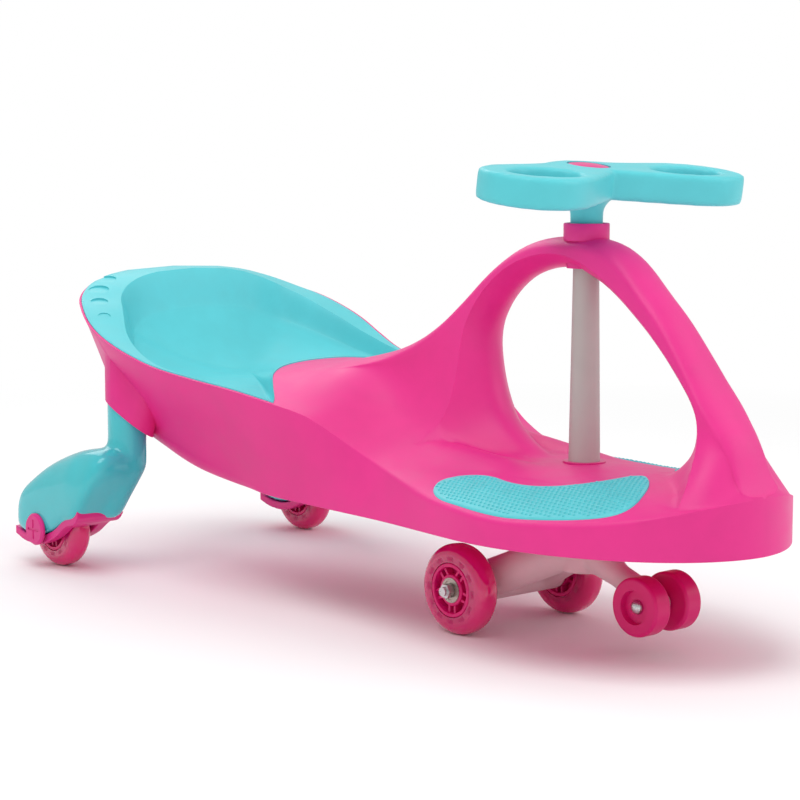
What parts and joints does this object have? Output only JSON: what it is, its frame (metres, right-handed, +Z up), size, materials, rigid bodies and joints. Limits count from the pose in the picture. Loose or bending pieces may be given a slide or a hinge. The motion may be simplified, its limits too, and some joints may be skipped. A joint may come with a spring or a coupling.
{
  "type": "wiggle car",
  "caption": "Wiggle car: a ride-on toy that rolls as its rider swings a twin-loop steering wheel; pink moulded body with turquoise bucket seat, foot pads and rear legs",
  "frame": {"origin": "On the floor, under the middle of the car's length and width", "axes": "+X forward, +Y to the rider's left, +Z up"},
  "size_m": [0.8223, 0.3826, 0.407],
  "materials": {
    "body_pink": "satin injection-moulded polypropylene, bright pink",
    "trim_turquoise": "satin injection-moulded polypropylene, turquoise",
    "column_grey": "satin light warm grey tube",
    "truck_grey": "smooth glass-filled plastic, warm grey-white",
    "fastener_steel": "zinc-plated steel",
    "cap_steel": "bright domed push cap",
    "small_wheel_pink": "satin crimson pink plastic",
    "tyre_pink": "cast polyurethane, slightly translucent crimson pink",
    "core_pink": "moulded plastic wheel core, crimson pink",
    "bearing_steel": "bright bearing steel",
    "spacer_steel": "turned tube"
  },
  "bodies": {
    "chassis": {"body_shell": "body_pink", "seat": "trim_turquoise", "foot_pad_left": "trim_turquoise", "foot_pad_right": "trim_turquoise", "steering_collar": "body_pink", "lower_bush": "body_pink", "rear_leg_left": "trim_turquoise", "rear_leg_right": "trim_turquoise", "leg_screws": "fastener_steel", "wheel_cover_left": "body_pink", "wheel_cover_right": "body_pink", "rear_axle_left": "fastener_steel", "rear_axle_right": "fastener_steel", "axle_cap_left": "body_pink", "axle_cap_right": "body_pink"},
    "steering": {"steering_wheel": "trim_turquoise", "steering_cap": "body_pink", "steering_bolt": "fastener_steel", "steering_column": "column_grey", "truck": "truck_grey", "column_pin": "fastener_steel", "front_axle_left": "fastener_steel", "front_axle_right": "fastener_steel", "small_axle": "fastener_steel", "small_axle_caps": "cap_steel"},
    "wheel_front_left": {"tyre_front_left": "tyre_pink", "wheel_core_front_left": "core_pink", "bearings_front_left": "bearing_steel", "bearing_spacer_front_left": "spacer_steel"},
    "wheel_front_right": {"tyre_front_right": "tyre_pink", "wheel_core_front_right": "core_pink", "bearings_front_right": "bearing_steel", "bearing_spacer_front_right": "spacer_steel"},
    "wheel_rear_left": {"tyre_rear_left": "tyre_pink", "wheel_core_rear_left": "core_pink", "bearings_rear_left": "bearing_steel", "bearing_spacer_rear_left": "spacer_steel"},
    "wheel_rear_right": {"tyre_rear_right": "tyre_pink", "wheel_core_rear_right": "core_pink", "bearings_rear_right": "bearing_steel", "bearing_spacer_rear_right": "spacer_steel"},
    "anti_tip_left": {"small_wheel_left": "small_wheel_pink"},
    "anti_tip_right": {"small_wheel_right": "small_wheel_pink"}
  },
  "joints": [
    {"name": "steering", "type": "hinge", "parent": "chassis", "child": "steering", "pos_m": [0.2145, 0, 0.154], "axis": [0, 0, 1], "continuous": true},
    {"name": "front_left_spin", "type": "hinge", "parent": "steering", "child": "wheel_front_left", "pos_m": [0.1305, 0.066, 0.04], "axis": [0, 1, 0], "continuous": true},
    {"name": "front_right_spin", "type": "hinge", "parent": "steering", "child": "wheel_front_right", "pos_m": [0.1305, -0.066, 0.04], "axis": [0, 1, 0], "continuous": true},
    {"name": "rear_left_spin", "type": "hinge", "parent": "chassis", "child": "wheel_rear_left", "pos_m": [-0.3645, 0.157, 0.04], "axis": [0, 1, 0], "continuous": true},
    {"name": "rear_right_spin", "type": "hinge", "parent": "chassis", "child": "wheel_rear_right", "pos_m": [-0.3645, -0.157, 0.04], "axis": [0, 1, 0], "continuous": true},
    {"name": "anti_tip_left_spin", "type": "hinge", "parent": "steering", "child": "anti_tip_left", "pos_m": [0.2995, 0.019, 0.045], "axis": [0, 1, 0], "continuous": true},
    {"name": "anti_tip_right_spin", "type": "hinge", "parent": "steering", "child": "anti_tip_right", "pos_m": [0.2995, -0.019, 0.045], "axis": [0, 1, 0], "continuous": true}
  ]
}
